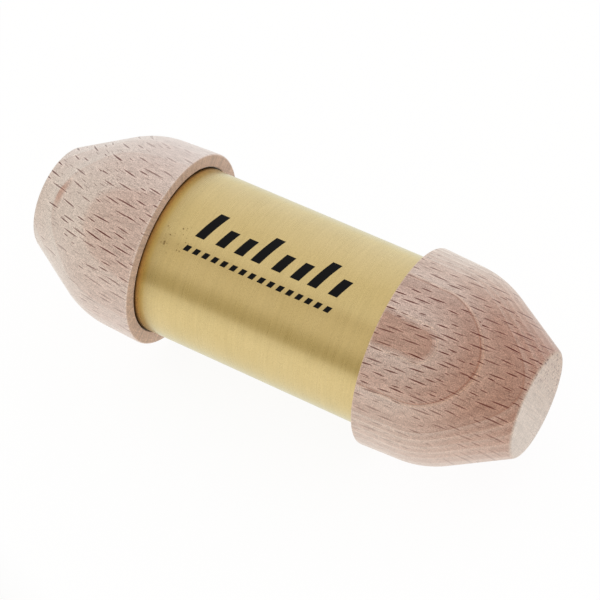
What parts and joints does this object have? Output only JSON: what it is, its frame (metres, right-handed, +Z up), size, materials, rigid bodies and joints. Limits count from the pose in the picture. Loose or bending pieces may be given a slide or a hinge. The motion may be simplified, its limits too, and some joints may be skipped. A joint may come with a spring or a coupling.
{
  "type": "percussion shaker",
  "caption": "Hand percussion shaker: a short brass tube closed by turned, tapered beech end caps, with loose steel shot that slides and rolls inside.",
  "frame": {"origin": "middle of the tube's axis, which is also the centre of the bounding box", "axes": "+X along the tube towards the right-hand cap, +Z up as the shaker lies on its side, -Y towards the viewer"},
  "size_m": [0.1238, 0.047, 0.047],
  "materials": {
    "brass": "satin, finely brushed round the tube",
    "beech": "bare sanded beech with dark ray flecks",
    "glue": "dried wood glue",
    "shot": "bright steel shot"
  },
  "bodies": {
    "casing": {"tube": "brass", "end_cap_left": "beech", "end_cap_right": "beech", "glue_ring_left": "glue", "glue_ring_right": "glue"},
    "keel_row": {"shot_keel": "shot"},
    "front_row_1": {"shot_front_1": "shot"},
    "front_row_2": {"shot_front_2": "shot"},
    "front_row_3": {"shot_front_3": "shot"},
    "front_row_4": {"shot_front_4": "shot"},
    "back_row_1": {"shot_back_1": "shot"},
    "back_row_2": {"shot_back_2": "shot"},
    "back_row_3": {"shot_back_3": "shot"},
    "back_row_4": {"shot_back_4": "shot"},
    "top_front_row_1": {"shot_top_front_1": "shot"},
    "top_front_row_2": {"shot_top_front_2": "shot"},
    "top_back_row_1": {"shot_top_back_1": "shot"},
    "top_back_row_2": {"shot_top_back_2": "shot"}
  },
  "joints": [
    {"name": "shot_swirl", "type": "hinge", "parent": "casing", "child": "keel_row", "pos_m": [0, 0, 0], "axis": [1, 0, 0], "continuous": true},
    {"name": "front_1_slide", "type": "slide", "parent": "keel_row", "child": "front_row_1", "axis": [1, 0, 0], "range_m": [-0.0228, 0.0228]},
    {"name": "front_2_slide", "type": "slide", "parent": "keel_row", "child": "front_row_2", "axis": [1, 0, 0], "range_m": [-0.0212, 0.0212]},
    {"name": "front_3_slide", "type": "slide", "parent": "keel_row", "child": "front_row_3", "axis": [1, 0, 0], "range_m": [-0.0228, 0.0228]},
    {"name": "front_4_slide", "type": "slide", "parent": "keel_row", "child": "front_row_4", "axis": [1, 0, 0], "range_m": [-0.0212, 0.0212]},
    {"name": "back_1_slide", "type": "slide", "parent": "keel_row", "child": "back_row_1", "axis": [1, 0, 0], "range_m": [-0.0228, 0.0228]},
    {"name": "back_2_slide", "type": "slide", "parent": "keel_row", "child": "back_row_2", "axis": [1, 0, 0], "range_m": [-0.0212, 0.0212]},
    {"name": "back_3_slide", "type": "slide", "parent": "keel_row", "child": "back_row_3", "axis": [1, 0, 0], "range_m": [-0.0228, 0.0228]},
    {"name": "back_4_slide", "type": "slide", "parent": "keel_row", "child": "back_row_4", "axis": [1, 0, 0], "range_m": [-0.0212, 0.0212]},
    {"name": "top_front_1_slide", "type": "slide", "parent": "keel_row", "child": "top_front_row_1", "axis": [1, 0, 0], "range_m": [-0.0228, 0.0228]},
    {"name": "top_front_2_slide", "type": "slide", "parent": "keel_row", "child": "top_front_row_2", "axis": [1, 0, 0], "range_m": [-0.0212, 0.0212]},
    {"name": "top_back_1_slide", "type": "slide", "parent": "keel_row", "child": "top_back_row_1", "axis": [1, 0, 0], "range_m": [-0.0228, 0.0228]},
    {"name": "top_back_2_slide", "type": "slide", "parent": "keel_row", "child": "top_back_row_2", "axis": [1, 0, 0], "range_m": [-0.0212, 0.0212]}
  ]
}
